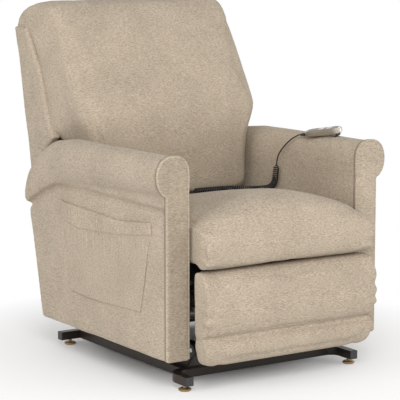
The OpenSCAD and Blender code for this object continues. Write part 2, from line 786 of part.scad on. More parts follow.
// ---- handset cord -----------------------------------------------------------------------------
clip_at = [-235, 108, 352];
lead_route = [[-235, 108, 358], [-235, 108, 380], [-235, 108, 410], [-234, 107, 434], [-226, 105, 452],
    [-206, 101, 461], [-180, 98, 463], [-140, 97, 464], [-95, 97, 465], [-50, 97, 465], [-5, 97, 465],
    [15, 97, 465], [30, 97, 466], [45, 97, 466], [60, 97, 466]];
curl_route = [[60, 97, 466], [85, 97, 466], [110, 97, 466], [140, 97, 465], [170, 95, 465],
    [205, 83, 465], [238, 55, 466], [259, 24, 468], [270, -4, 474], [274, -26, 487], [275, -35, 506],
    [275, -38, 529], [275, -42, 552]];
tail_route = [[275, -42, 552], [274.6, -44, 561], [274.4, -49, 575], [275, -60, 591], [276.8, -76, 608],
    [279.5, -94, 623.5], [283, -111, 636], [290.3, -132.1, 648], [291.9, -139, 649.2]];
curl_rings = 8;                       // rings in one curl

module cord_clip() {
    color(plastic) translate([clip_at[0], clip_at[1], clip_at[2] - 14]) difference() {
        union() {
            cylinder(r = 6.5, h = 20, $fn = 32);
            translate([-11, -9, 0]) cube([19, 6, 16]);
        }
        translate([0, 0, -1]) cylinder(r = cable_d / 2, h = 22, $fn = 24);
    }
}

module cord_lead() {
    color(plastic) skin(tube_rings(open_curve(lead_route, 4), cable_d / 2, 8, [1, 0.2, 0]));
}

curl_steps = curls * curl_rings;
curl_mean = (curl_od - cable_d) / 2;
curl_fine = open_curve(curl_route, 24);
curl_run = [for (i = 0, s = 0; i < len(curl_fine); s = s + (i < len(curl_fine) - 1 ?
    norm(curl_fine[i + 1] - curl_fine[i]) : 0), i = i + 1) s];
curl_total = curl_run[len(curl_run) - 1];
curl_pick = [for (k = [0:curl_steps]) lookup(k / curl_steps * curl_total,
    [for (i = [0:len(curl_fine) - 1]) [curl_run[i], i]])];
curl_axis = [for (u = curl_pick) let(i = min(floor(u), len(curl_fine) - 2))
    curl_fine[i] + (curl_fine[i + 1] - curl_fine[i]) * (u - i)];
curl_tangent = tangents(curl_axis);
curl_normal = carried(curl_tangent, [0, 0, 1]);
// The curls open out of the straight cable at one end and close into it at the other.
function curl_grow(k) = let(e = min(k, curl_steps - k) - 1, u = min(1, max(0, e / (2 * curl_rings))))
    u * u * (3 - 2 * u);
curl_centre = [for (k = [0:curl_steps]) let(a = 360 * k / curl_rings, t = curl_tangent[k],
    n = curl_normal[k], r = curl_mean * curl_grow(k)) curl_axis[k] + r * (cos(a) * n + sin(a) * cross(t, n))];
curl_gap = min([for (k = [0:curl_steps - 6]) min([for (m = [k + 6:min(curl_steps, k + 12)])
    norm(curl_centre[k] - curl_centre[m])])]) - cable_d;
echo(least_gap_between_curls = curl_gap);

module cord_curls() {
    t = tangents(curl_centre);
    color(plastic) skin([for (k = [0:curl_steps]) let(a = 360 * k / curl_rings,
        out = cos(a) * curl_normal[k] + sin(a) * cross(curl_tangent[k], curl_normal[k]),
        n = carry(out, t[k]), b = cross(t[k], n))
        [for (j = [0:5]) let(w = -60 * j - a * (1 - curl_grow(k)))
            curl_centre[k] + cable_d / 2 * (cos(w) * n + sin(w) * b)]]);
}

module cord_tail() {
    color(plastic) skin(tube_rings(open_curve(tail_route, 3), cable_d / 2, 8, [1, 0, 0]));
}

base_front_tube();
base_rear_tube();
base_rails();
base_ears();
levelling_glides();
tube_end_caps();
base_pivot_pins();
actuator_anchor();
power_box();
front_lift_links();
lift_torsion_tube();
rear_lift_links();
actuator_motor();
actuator_tube();
actuator_rod();
carriage_plates();
carriage_cross_tubes();
chair_pivot_pins();
mechanism_plates();
mechanism_bolts();
seat_cross_tubes();
seat_frame();
seat_springs();
right_arm_panel();
left_arm_panel();
right_arm_roll();
left_arm_roll();
right_arm_front();
left_arm_front();
side_pocket();
rear_apron();
seat_cushion();
legrest_swing_links();
legrest_cross_tube();
legrest_reach_links();
legrest_control_links();
footrest_brackets();
footrest_board();
footrest_pad();
footrest_band();
back_brackets();
back_frame();
back_springs();
right_back_side();
left_back_side();
outside_back();
back_cushion();
handset_lower_shell();
handset_upper_shell();
handset_hook();
handset_relief();
up_button();
down_button();
cord_clip();
cord_lead();
cord_curls();
cord_tail();
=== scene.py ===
"""A lift recliner chair: upholstered body, steel lift base, handset on a curly cord.

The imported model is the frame. Each section below dresses one piece, or a group
of like pieces, in the order in which the chair is put together.
"""

import json
import math

import bpy
import numpy as np
from mathutils import Matrix, Vector


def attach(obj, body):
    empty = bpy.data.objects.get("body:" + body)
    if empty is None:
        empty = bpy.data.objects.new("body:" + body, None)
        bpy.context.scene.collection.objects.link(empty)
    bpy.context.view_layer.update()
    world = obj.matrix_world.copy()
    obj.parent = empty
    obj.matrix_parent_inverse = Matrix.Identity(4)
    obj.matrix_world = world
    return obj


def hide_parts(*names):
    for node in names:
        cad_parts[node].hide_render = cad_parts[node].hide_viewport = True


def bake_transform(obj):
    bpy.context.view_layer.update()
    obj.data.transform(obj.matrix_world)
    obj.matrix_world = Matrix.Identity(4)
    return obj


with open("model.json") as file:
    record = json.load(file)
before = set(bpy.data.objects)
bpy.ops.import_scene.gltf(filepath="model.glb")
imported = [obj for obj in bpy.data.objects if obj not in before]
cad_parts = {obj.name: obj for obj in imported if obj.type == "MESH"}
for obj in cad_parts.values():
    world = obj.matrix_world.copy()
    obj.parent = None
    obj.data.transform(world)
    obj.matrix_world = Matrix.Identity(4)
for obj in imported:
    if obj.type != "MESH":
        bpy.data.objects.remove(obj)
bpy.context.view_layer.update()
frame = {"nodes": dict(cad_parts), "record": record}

# ---- camera, floor and light -------------------------------------------------
# A long lens looks down on the sitter's right front corner. The floor is a
# pale sweep, and three soft lamps light the cloth at a plain level.
LOOK_AT = Vector((0.023, 0.0, 0.456))
CAMERA_AT = Vector((-2.913, -4.470, 1.287))
SENSOR_MM = 36.0
FOCAL_PIXELS = 1803.1
PICTURE_PIXELS = 400
VIEW_DEPTH = 60
FLOOR_SIZE = 40
FLOOR_SHADE = {"From Min": 0.25, "From Max": 0.95}     # where the floor's shade fades to white
LAMPS = {                       # where it stands, what it shines on, its size, its watts
    "key_lamp": ((-2.2, -4.2, 3.4), (0, 0, 0.4), 2.4, 172),
    "side_lamp": ((-4.6, -0.6, 1.8), (0, 0, 0.5), 2.6, 70),
    "fill_lamp": ((3.4, -3.6, 1.6), (0, 0, 0.5), 2.6, 60),
}


def added(name, data):
    """A new object in the scene that shows the data."""
    piece = bpy.data.objects.new(name, data)
    bpy.context.scene.collection.objects.link(piece)
    return piece


def turned_to(place, aim):
    """The turn of a camera or lamp at one place that looks at another."""
    return (Vector(aim) - Vector(place)).to_track_quat("-Z", "Y").to_euler()


camera_data = bpy.data.cameras.new("camera")
camera_data.sensor_width = SENSOR_MM
camera_data.lens = FOCAL_PIXELS / PICTURE_PIXELS * SENSOR_MM
camera_data.clip_end = VIEW_DEPTH
camera = added("camera", camera_data)
camera.location = CAMERA_AT
camera.rotation_euler = turned_to(CAMERA_AT, LOOK_AT)
bpy.context.scene.camera = camera
bpy.context.scene.view_settings.view_transform = "Standard"

for lamp_name, (place, aim, size, watts) in LAMPS.items():
    lamp_data = bpy.data.lights.new(lamp_name, "AREA")
    lamp_data.size = size
    lamp_data.energy = watts
    lamp = added(lamp_name, lamp_data)
    lamp.location = place
    lamp.rotation_euler = turned_to(place, aim)


def select_only(piece):
    """Makes one object the only selected and active one."""
    bpy.ops.object.select_all(action="DESELECT")
    piece.select_set(True)
    bpy.context.view_layer.objects.active = piece


bpy.ops.mesh.primitive_plane_add(size=FLOOR_SIZE, location=(0, 0, 0))
floor = bpy.context.active_object
floor.name = "floor"


def new_material(name):
    """An empty node material with its Principled shader and its output."""
    material = bpy.data.materials.new(name)
    material.use_nodes = True
    return material, material.node_tree.nodes, material.node_tree.links


def set_inputs(node, values):
    """Sets named inputs of a shader node."""
    for name, value in values.items():
        node.inputs[name].default_value = value


def white_to_camera(tree, surface, output, white, amount=None):
    """Shows the camera and gloss a white shader, or a share of it. All else meets the surface."""
    nodes, links = tree.nodes, tree.links
    path = nodes.new("ShaderNodeLightPath")
    share = path.outputs["Is Camera Ray"]
    for kind in ("Is Glossy Ray", "Is Transmission Ray"):
        either = nodes.new("ShaderNodeMath")
        either.operation = "MAXIMUM"
        links.new(share, either.inputs[0])
        links.new(path.outputs[kind], either.inputs[1])
        share = either.outputs[0]
    if amount is not None:
        part = nodes.new("ShaderNodeMath")
        part.operation = "MULTIPLY"
        links.new(share, part.inputs[0])
        links.new(amount, part.inputs[1])
        share = part.outputs[0]
    mix = nodes.new("ShaderNodeMixShader")
    links.new(share, mix.inputs[0])
    links.new(surface, mix.inputs[1])
    links.new(white, mix.inputs[2])
    links.new(mix.outputs[0], output)


world = bpy.data.worlds.new("studio")
bpy.context.scene.world = world
world.use_nodes = True
world_nodes = world.node_tree.nodes
studio_light = world_nodes["Background"]
set_inputs(studio_light, {"Color": (1, 0.985, 0.96, 1), "Strength": 0.42})
studio_white = world_nodes.new("ShaderNodeBackground")
set_inputs(studio_white, {"Color": (1, 1, 1, 1)})
white_to_camera(world.node_tree, studio_light.outputs[0],
                world_nodes["World Output"].inputs["Surface"], studio_white.outputs[0])

floor_paint, floor_nodes, floor_links = new_material("floor_paint")
set_inputs(floor_nodes["Principled BSDF"],
           {"Base Color": (0.93, 0.93, 0.93, 1), "Roughness": 0.9})
floor_white = floor_nodes.new("ShaderNodeEmission")
set_inputs(floor_white, {"Color": (1, 1, 1, 1)})
floor_place = floor_nodes.new("ShaderNodeTexCoord")
floor_reach = floor_nodes.new("ShaderNodeVectorMath")
floor_reach.operation = "LENGTH"
floor_links.new(floor_place.outputs["Object"], floor_reach.inputs[0])
floor_fade = floor_nodes.new("ShaderNodeMapRange")
set_inputs(floor_fade, FLOOR_SHADE)
floor_links.new(floor_reach.outputs["Value"], floor_fade.inputs["Value"])
white_to_camera(floor_paint.node_tree, floor_nodes["Principled BSDF"].outputs[0],
                floor_nodes["Material Output"].inputs["Surface"], floor_white.outputs[0],
                floor_fade.outputs["Result"])
floor.data.materials.append(floor_paint)

# ---- handset cord ------------------------------------------------------------
# A black cable leaves a clip behind the seat, lies in the crease along the
# back, is moulded into curls, and climbs the arm to the handset.
CABLE_D = 0.004
CURLS = 54
CURL_OD = 0.020
STEPS_PER_CURL = 16
STRAIGHT_TURNS = 0.125              # of a turn at each end, before the winding opens
OPENING_TURNS = 2                   # turns over which it opens to its full width
LEAD_STEPS, CURL_STEPS, TAIL_STEPS = 4, 24, 3      # steps between two points of each route
LEAD_ROUTE = [(-.235, .108, .358), (-.235, .108, .380), (-.235, .108, .410), (-.234, .107, .434),
              (-.226, .105, .452), (-.206, .101, .461), (-.180, .098, .463), (-.140, .097, .464),
              (-.095, .097, .465), (-.050, .097, .465), (-.005, .097, .465), (.015, .097, .465),
              (.030, .097, .466), (.045, .097, .466), (.060, .097, .466)]
CURL_ROUTE = [(.060, .097, .466), (.085, .097, .466), (.110, .097, .466), (.140, .097, .465),
              (.170, .095, .465), (.205, .083, .465), (.238, .055, .466), (.259, .024, .468),
              (.270, -.004, .474), (.274, -.026, .487), (.275, -.035, .506), (.275, -.038, .529),
              (.275, -.042, .552)]
TAIL_ROUTE = [(.275, -.042, .552), (.2746, -.044, .561), (.2744, -.049, .575), (.275, -.060, .591),
              (.2768, -.076, .608), (.2795, -.094, .6235), (.283, -.111, .636),
              (.2903, -.1321, .648), (.2919, -.139, .6492)]


def smooth_route(points, steps):
    """A smooth curve through the points, with that many steps between two of them."""
    p = [np.array(q, float) for q in points]
    out = []
    for i in range(len(p) - 1):
        a, b, c, d = p[max(i - 1, 0)], p[i], p[i + 1], p[min(i + 2, len(p) - 1)]
        for j in range(steps):
            t = j / steps
            out.append(0.5 * (2 * b + (c - a) * t + (2 * a - 5 * b + 4 * c - d) * t * t
                              + (3 * b - a - 3 * c + d) * t ** 3))
    return np.array(out + [p[-1]])


def curled(route):
    """The cable's centre line as it winds round a route, opening out at both ends."""
    fine = smooth_route(route, CURL_STEPS)
    run = np.concatenate([[0], np.cumsum(np.linalg.norm(np.diff(fine, axis=0), axis=1))])
    steps = CURLS * STEPS_PER_CURL
    axis = np.array([[np.interp(s, run, fine[:, k]) for k in range(3)]
                     for s in np.linspace(0, run[-1], steps + 1)])
    tangent = np.gradient(axis, axis=0)
    tangent /= np.linalg.norm(tangent, axis=1)[:, None]
    normal = np.array([0, 0, 1.0])
    out = []
    for k in range(steps + 1):
        normal = normal - tangent[k] * (normal @ tangent[k])
        normal /= np.linalg.norm(normal)
        turns = k / STEPS_PER_CURL
        open_by = min(1, max(0, (min(turns, CURLS - turns) - STRAIGHT_TURNS) / OPENING_TURNS))
        radius = (CURL_OD - CABLE_D) / 2 * open_by ** 2 * (3 - 2 * open_by)
        angle = 2 * math.pi * turns
        out.append(axis[k] + radius * (math.cos(angle) * normal
                                       + math.sin(angle) * np.cross(tangent[k], normal)))
    return np.array(out)


def cable_mesh(name, path, diameter, sides=3):
    """A round cable along a path, as a mesh."""
    curve = bpy.data.curves.new(name, "CURVE")
    curve.dimensions = "3D"
    curve.bevel_depth = diameter / 2
    curve.bevel_resolution = sides
    curve.use_fill_caps = True
    spline = curve.splines.new("POLY")
    spline.points.add(len(path) - 1)
    spline.points.foreach_set("co", np.hstack([path, np.ones((len(path), 1))]).ravel())
    select_only(added(name, curve))
    bpy.ops.object.convert(target="MESH")
    piece = bpy.context.active_object
    piece.name = name
    bpy.ops.object.shade_smooth()
    return piece


def noise(tree, place, scale, detail):
    """A noise texture whose scale is a number or another socket."""
    node = tree.nodes.new("ShaderNodeTexNoise")
    node.inputs["Detail"].default_value = detail
    tree.links.new(place, node.inputs["Vector"])
    if isinstance(scale, (int, float)):
        node.inputs["Scale"].default_value = scale
    else:
        tree.links.new(scale, node.inputs["Scale"])
    return node.outputs["Fac"]


def in_relief(material, height, strength, distance):
    """Lets a height stand out of a material's surface."""
    nodes, links = material.node_tree.nodes, material.node_tree.links
    bump = nodes.new("ShaderNodeBump")
    set_inputs(bump, {"Strength": strength, "Distance": distance})
    links.new(height, bump.inputs["Height"])
    links.new(bump.outputs["Normal"], nodes["Principled BSDF"].inputs["Normal"])


cord_path = np.vstack([smooth_route(LEAD_ROUTE, LEAD_STEPS)[:-1], curled(CURL_ROUTE),
                       smooth_route(TAIL_ROUTE, TAIL_STEPS)[1:]])
handset_cord = cable_mesh("handset_cord", cord_path, CABLE_D)

cable_sheath, sheath_nodes, _ = new_material("cable_sheath")
set_inputs(sheath_nodes["Principled BSDF"], {"Base Color": (0.018, 0.017, 0.018, 1),
                                             "Roughness": 0.42, "Specular IOR Level": 0.4})
sheath_place = sheath_nodes.new("ShaderNodeTexCoord")
sheath_grain = noise(cable_sheath.node_tree, sheath_place.outputs["Object"], 900, 2.0)
in_relief(cable_sheath, sheath_grain, strength=0.15, distance=0.0003)
handset_cord.data.materials.append(cable_sheath)

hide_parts("cord_lead", "cord_curls", "cord_tail")
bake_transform(handset_cord)

# ---- upholstery cloth --------------------------------------------------------
# Every soft piece wears the same plain beige tweed: slubby warm yarn with
# fine lighter and darker flecks, and a low nap that catches the light.
CLOTH_BASE = (0.452, 0.377, 0.290, 1)
CLOTH_LIGHT = (0.560, 0.478, 0.380, 1)
CLOTH_DARK = (0.330, 0.268, 0.200, 1)
FLECK_SCALE = 300.0                 # flecks of about 5 mm by 2 mm
YARN_SCALE = 620.0                  # yarn knots of about 1.6 mm
SLUB = (0.48, 0.48, 1.9)            # the flecks lie along the level threads
DARK_FLECKS = (0.50, 0.34)          # where in the noise dark flecks start and are full
LIGHT_FLECKS = (0.54, 0.72)
CLOUD_SCALE = 9.0                   # slow patches of slightly darker and lighter cloth
CLOUD_RANGE = (0.35, 0.65)
CLOUD_SHADE = {"To Min": 0.94, "To Max": 1.04}


def group_input(group, kind, name, value=None):
    """One named input of a shader node group."""
    socket = group.interface.new_socket(name, in_out="INPUT", socket_type=kind)
    if value is not None:
        socket.default_value = value
    return socket


tweed = bpy.data.node_groups.new("tweed_weave", "ShaderNodeTree")
group_input(tweed, "NodeSocketVector", "Place")
group_input(tweed, "NodeSocketColor", "Base", CLOTH_BASE)
group_input(tweed, "NodeSocketColor", "Light", CLOTH_LIGHT)
group_input(tweed, "NodeSocketColor", "Dark", CLOTH_DARK)
group_input(tweed, "NodeSocketFloat", "Fleck scale", FLECK_SCALE)
group_input(tweed, "NodeSocketFloat", "Yarn scale", YARN_SCALE)
tweed.interface.new_socket("Color", in_out="OUTPUT", socket_type="NodeSocketColor")
tweed.interface.new_socket("Height", in_out="OUTPUT", socket_type="NodeSocketFloat")
weave_in = tweed.nodes.new("NodeGroupInput")
weave_out = tweed.nodes.new("NodeGroupOutput")


def ramp(tree, source, low, high):
    """Stretches the range low to high of a value over 0 to 1."""
    node = tree.nodes.new("ShaderNodeMapRange")
    set_inputs(node, {"From Min": low, "From Max": high})
    tree.links.new(source, node.inputs["Value"])
    return node.outputs["Result"]


def mixed(tree, factor, first, second):
    """One colour turning into another as the factor goes from 0 to 1."""
    node = tree.nodes.new("ShaderNodeMix")
    node.data_type = "RGBA"
    tree.links.new(factor, node.inputs["Factor"])
    tree.links.new(first, node.inputs["A"])
    tree.links.new(second, node.inputs["B"])
    return node.outputs["Result"]


slubs = tweed.nodes.new("ShaderNodeMapping")
slubs.inputs["Scale"].default_value = SLUB
tweed.links.new(weave_in.outputs["Place"], slubs.inputs["Vector"])
flecks = noise(tweed, slubs.outputs["Vector"], weave_in.outputs["Fleck scale"], 2.0)
dark_mask = ramp(tweed, flecks, *DARK_FLECKS)
light_mask = ramp(tweed, flecks, *LIGHT_FLECKS)
yarn = tweed.nodes.new("ShaderNodeTexVoronoi")
tweed.links.new(weave_in.outputs["Place"], yarn.inputs["Vector"])
tweed.links.new(weave_in.outputs["Yarn scale"], yarn.inputs["Scale"])
clouds = ramp(tweed, noise(tweed, weave_in.outputs["Place"], CLOUD_SCALE, 2.0), *CLOUD_RANGE)
color = mixed(tweed, dark_mask, weave_in.outputs["Base"], weave_in.outputs["Dark"])
color = mixed(tweed, light_mask, color, weave_in.outputs["Light"])
shade = tweed.nodes.new("ShaderNodeHueSaturation")
shade_by = tweed.nodes.new("ShaderNodeMapRange")
set_inputs(shade_by, CLOUD_SHADE)
tweed.links.new(clouds, shade_by.inputs["Value"])
tweed.links.new(shade_by.outputs["Result"], shade.inputs["Value"])
tweed.links.new(color, shade.inputs["Color"])
tweed.links.new(shade.outputs["Color"], weave_out.inputs["Color"])
knots = tweed.nodes.new("ShaderNodeMath")
knots.operation = "SUBTRACT"
tweed.links.new(flecks, knots.inputs[0])
tweed.links.new(yarn.outputs["Distance"], knots.inputs[1])
tweed.links.new(knots.outputs[0], weave_out.inputs["Height"])


def cloth_material(name, base=CLOTH_BASE, light=CLOTH_LIGHT, dark=CLOTH_DARK):
    """A material of the chair's tweed, of a darker copy of it that carries painted shade, or of
    another yarn.
    """
    material, nodes, links = new_material(name)
    place = nodes.new("ShaderNodeTexCoord")
    weave = nodes.new("ShaderNodeGroup")
    weave.node_tree = tweed
    set_inputs(weave, {"Base": base, "Light": light, "Dark": dark})
    links.new(place.outputs["Object"], weave.inputs["Place"])
    shader = nodes["Principled BSDF"]
    set_inputs(shader, {"Roughness": 0.92, "Specular IOR Level": 0.15,
                        "Sheen Weight": 0.12, "Sheen Roughness": 0.5})
    links.new(weave.outputs["Color"], shader.inputs["Base Color"])
    in_relief(material, weave.outputs["Height"], strength=0.55, distance=0.0009)
    return material


tweed_cloth = cloth_material("beige_tweed")
# A darker copy of the tweed for the inner welts: painted shade of the crease beside them.
shaded_welt_cloth = cloth_material("beige_tweed_welt_painted_shade", base=(0.270, 0.222, 0.168, 1),
                            light=(0.36, 0.30, 0.235, 1), dark=(0.19, 0.152, 0.11, 1))
# A darker copy of the tweed for the front of the sitter's right arm: painted shade.
shaded_front_cloth = cloth_material("beige_tweed_front_painted_shade", base=(0.368, 0.306, 0.232, 1),
                                light=(0.462, 0.392, 0.305, 1), dark=(0.265, 0.214, 0.158, 1))
lining_cloth = cloth_material("black_lining", base=(0.02, 0.02, 0.02, 1),
                              light=(0.03, 0.03, 0.03, 1), dark=(0.012, 0.012, 0.012, 1))

# ---- arms --------------------------------------------------------------------
# Each arm is a timber box under stretched cloth: a flat side panel, a padded
# roll sewn along its top, and a scroll-shaped front panel edged with welt.
# The front of the sitter's right arm wears a darker copy of the tweed: painted shade.
ARM_VOXEL = 0.0046
ARM_FRONT_VOXEL = 0.004
ARM_FRONT_Y = -0.421
ARM_IN, ARM_OUT, ARM_LOW = 0.289, 0.357, 0.091
ROLL_C, ROLL_R = 0.3375, 0.0495
SCROLL_LOW, SCROLL_TOP = 0.548, 0.657
SCROLL = [(-0.96, 0), (-0.98, 0.25), (-0.99, 0.5), (-0.93, 0.72), (-0.74, 0.88), (-0.42, 0.975),
          (0, 1), (0.42, 0.97), (0.74, 0.87), (0.94, 0.7), (1, 0.5), (0.92, 0.28), (0.68, 0.1),
          (0.41, 0)]                # over the scroll: across the roll, and up its height
ROLL_SEAM = [(.373, .425), (.330, .449), (.272, .477), (.190, .505), (.060, .512),
             (-.120, .510), (-.300, .508), (-.410, .507)]
WELTS = {                           # how far behind the arm's front, radius, cloth
    "outer": (0.0050, 0.0040, tweed_cloth),
    # The inner welt wears the darker tweed: painted shade of the seam crease.
    "inner": (0.0125, 0.0034, shaded_welt_cloth),
}
SAME_PLACE = 1e-5                   # corners of solids nearer than this are one
SIDE_PLANE = (1, 2)                 # a seam given by Y and Z alone
PADDING_WAVES = 14
FOLD_DRIFT, FOLD_DRIFT_RATE = 1.3, 0.37     # folds at a seam aren't evenly spaced
FOLD_UNEVEN, FOLD_UNEVEN_RATE = 0.3, 0.61   # nor evenly deep


def cloth_over(nodes, name, voxel):
    """An even mesh over one or more soft parts' solids, standing alone."""
    copies = []
    for node in nodes:
        copies.append(added(name, frame["nodes"][node].data.copy()))
        copies[-1].data.materials.clear()
    select_only(copies[0])
    for copy in copies:
        copy.select_set(True)
    if len(copies) > 1:
        bpy.ops.object.join()
    piece = bpy.context.active_object
    piece.name = piece.data.name = name
    bpy.ops.object.mode_set(mode="EDIT")
    bpy.ops.mesh.select_all(action="SELECT")
    bpy.ops.mesh.remove_doubles(threshold=SAME_PLACE)
    bpy.ops.object.mode_set(mode="OBJECT")
    even = piece.modifiers.new("even", "REMESH")
    even.mode = "VOXEL"
    even.voxel_size = voxel
    bpy.ops.object.modifier_apply(modifier="even")
    bpy.ops.object.shade_smooth()
    return piece


def vectors(vertices, what):
    """One vector of every vertex, such as its place, as an array."""
    out = np.zeros(len(vertices) * 3, np.float32)
    vertices.foreach_get(what, out)
    return out.reshape(-1, 3).astype(float)


def points_of(piece):
    """The piece's vertices as an array."""
    return vectors(piece.data.vertices, "co")


def normals_of(piece):
    """The piece's vertex normals as an array."""
    return vectors(piece.data.vertices, "normal")


def set_points(piece, points):
    """Moves the piece's vertices to the array's places."""
    piece.data.vertices.foreach_set("co", points.astype(np.float32).ravel())
    piece.data.update()


def ease(piece, factor=0.5, rounds=6):
    """Relaxes a cloth cover, so that its edges are round."""
    select_only(piece)
    smooth = piece.modifiers.new("ease", "SMOOTH")
    smooth.factor = factor
    smooth.iterations = rounds
    bpy.ops.object.modifier_apply(modifier="ease")


def swelled(piece, by):
    """Moves a cover straight out by one distance."""
    set_points(piece, points_of(piece) + normals_of(piece) * by)


def hand_made(piece, height, length, seed):
    """Gives a stretched cover the low, slow unevenness of its padding."""
    points, normals = points_of(piece), normals_of(piece)
    random = np.random.default_rng(seed)
    wave = np.zeros(len(points))
    for _ in range(PADDING_WAVES):
        direction = random.normal(size=3)
        direction *= 2 * math.pi / (length * random.uniform(0.6, 1.8) * np.linalg.norm(direction))
        wave += np.sin(points @ direction + random.uniform(0, 6.3))
    set_points(piece, points + normals * (height * wave / PADDING_WAVES ** 0.5)[:, None])


def along(points, line):
    """Each point's distance from a line of corners, and how far along the line that is."""
    best = np.full(len(points), np.inf)
    where = np.zeros(len(points))
    run = 0.0
    for a, b in zip(line[:-1], line[1:]):
        a, b = np.array(a, float), np.array(b, float)
        length = np.linalg.norm(b - a)
        share = np.clip((points - a) @ (b - a) / length ** 2, 0, 1)
        away = np.linalg.norm(points - a - share[:, None] * (b - a), axis=1)
        near = away < best
        best[near] = away[near]
        where[near] = run + share[near] * length
        run += length
    return best, where


def sewn(piece, line, width, depth, columns=(0, 1, 2), only=None):
    """Draws the cover in along a seam."""
    points, normals = points_of(piece), normals_of(piece)
    away, _ = along(points[:, columns], line)
    dip = depth * np.exp(-(away / width) ** 2)
    if only is not None:
        dip = np.where(only(points), dip, 0)
    set_points(piece, points - normals * dip[:, None])


def puckered(piece, line, width, depth, period, columns=(0, 1, 2), only=None):
    """Gathers the cover into short folds square to a seam."""
    points, normals = points_of(piece), normals_of(piece)
    away, where = along(points[:, columns], line)
    turn = 2 * math.pi * where / period
    depths = 1 - FOLD_UNEVEN + FOLD_UNEVEN * np.sin(turn * FOLD_UNEVEN_RATE + 1)
    fold = np.sin(turn + FOLD_DRIFT * np.sin(turn * FOLD_DRIFT_RATE)) * depths
    push = depth * fold * np.exp(-(away / width) ** 2)
    if only is not None:
        push = np.where(only(points), push, 0)
    set_points(piece, points + normals * push[:, None])


def dress(piece, body, *nodes_replaced, material=tweed_cloth, slot="fabric"):
    """Gives a finished piece its material, its body and the nodes it stands for."""
    piece.data.materials.clear()
    piece.data.materials.append(material)
    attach(piece, body)
    if nodes_replaced:
        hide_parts(*nodes_replaced)
    return piece


def scroll_line(side, y):
    """The arm front's edge from its inner foot over the scroll to its outer foot."""
    points = [(ARM_IN, ARM_LOW + 0.004)]
    points += [(ARM_IN, z) for z in np.linspace(ARM_LOW + 0.05, SCROLL_LOW - 0.04, 6)]
    points += [(ROLL_C + across * ROLL_R, SCROLL_LOW + up * (SCROLL_TOP - SCROLL_LOW))
               for across, up in SCROLL]
    points += [(ARM_OUT, z) for z in np.linspace(SCROLL_LOW - 0.03, ARM_LOW + 0.05, 6)]
    points += [(ARM_OUT, ARM_LOW + 0.004)]
    return smooth_route([(side * x, y, z) for x, z in points], 6)


for side, word in ((-1, "right"), (1, "left")):
    cover = cloth_over((word + "_arm_panel", word + "_arm_roll"), word + "_arm_cover", ARM_VOXEL)
    ease(cover, rounds=8)
    hand_made(cover, height=0.0008, length=0.20, seed=4 + side)
    sewn(cover, ROLL_SEAM, width=0.0065, depth=0.0100, columns=SIDE_PLANE,
         only=lambda at, s=side: at[:, 0] * s > 0.33)
    dress(cover, "chair", word + "_arm_panel", word + "_arm_roll")

    front = cloth_over((word + "_arm_front",), word + "_arm_front_cover", ARM_FRONT_VOXEL)
    ease(front)
    # The front of the sitter's right arm wears the darker tweed: painted shade.
    dress(front, "chair", word + "_arm_front",
          material=shaded_front_cloth if side < 0 else tweed_cloth)

    for part, (behind, radius, cloth) in WELTS.items():
        line = scroll_line(side, ARM_FRONT_Y + behind)
        welt = cable_mesh(word + "_arm_welt_" + part, line, 2 * radius)
        dress(welt, "chair", material=cloth)

# ---- side pocket -------------------------------------------------------------
# A flat cloth pocket for papers on the outside of the sitter's right arm, with
# a deep hem gathered on elastic.
POCKET_VOXEL = 0.0022
POCKET_HEM = [(.155, .432), (.060, .430), (-.040, .431), (-.150, .432), (-.245, .441),
              (-.335, .453)]
HEM_DEPTH = 0.05

pocket = cloth_over(("side_pocket",), "side_pocket_cloth", POCKET_VOXEL)
ease(pocket, factor=0.4, rounds=2)
puckered(pocket, POCKET_HEM, width=0.028, depth=0.0016, period=0.013, columns=SIDE_PLANE,
         only=lambda at: at[:, 0] < -0.3605)
puckered(pocket, [(y, z - HEM_DEPTH) for y, z in POCKET_HEM], width=0.03, depth=0.001,
         period=0.021, columns=SIDE_PLANE, only=lambda at: at[:, 0] < -0.3590)
dress(pocket, "chair", "side_pocket")

# ---- seat cushion ------------------------------------------------------------
# Foam and fibre in a loose cover, fuller at the front, where it rolls down
# over the springs. The cover is filled by a cloth simulation.
SEAT_VOXEL = 0.008
SLACK = 0.004                       # the cover starts this far inside its full shape
CLOTH = {"quality": 6, "mass": 0.25, "use_pressure": True, "tension_stiffness": 20,
         "compression_stiffness": 20, "shear_stiffness": 8, "bending_stiffness": 0.8}
SEAT_SINK = 0.007                   # the top gives under the cord's curls
SEAT_NOSE_DROP, SEAT_CORNER_DROP = 0.007, 0.006
SEAT_CORNER_OUT, SEAT_CORNER_FORWARD = 0.008, 0.012
SEAT_PLEATS = [(.286, -.500, .362), (.286, -.512, .410), (.286, -.500, .465), (.286, -.455, .520)]


def fill_out(piece, pressure, cap, give=0.005, frames=20):
    """Fills a cover by cloth simulation, and caps how far it moves out, in and sideways."""
    points, normals = points_of(piece), normals_of(piece)
    set_points(piece, points - normals * SLACK)
    select_only(piece)
    cloth = piece.modifiers.new("fill", "CLOTH")
    for setting, value in CLOTH.items():
        setattr(cloth.settings, setting, value)
    cloth.settings.uniform_pressure_force = pressure
    cloth.settings.effector_weights.gravity = 0
    scene = bpy.context.scene
    cloth.point_cache.frame_start, cloth.point_cache.frame_end = 1, frames
    for number in range(1, frames + 1):
        scene.frame_set(number)
    filled = piece.evaluated_get(bpy.context.evaluated_depsgraph_get())
    move = vectors(filled.data.vertices, "co") - points
    piece.modifiers.remove(cloth)
    scene.frame_set(1)
    out = (move * normals).sum(axis=1)
    slide = move - normals * out[:, None]
    far = np.maximum(np.linalg.norm(slide, axis=1), 1e-9)
    slide *= np.minimum(1, give / far)[:, None]
    set_points(piece, points + normals * np.clip(out, -give, cap)[:, None] + slide)


def rounded(piece):
    """One level of subdivision, applied."""
    select_only(piece)
    finer = piece.modifiers.new("finer", "SUBSURF")
    finer.levels = finer.render_levels = 1
    bpy.ops.object.modifier_apply(modifier="finer")


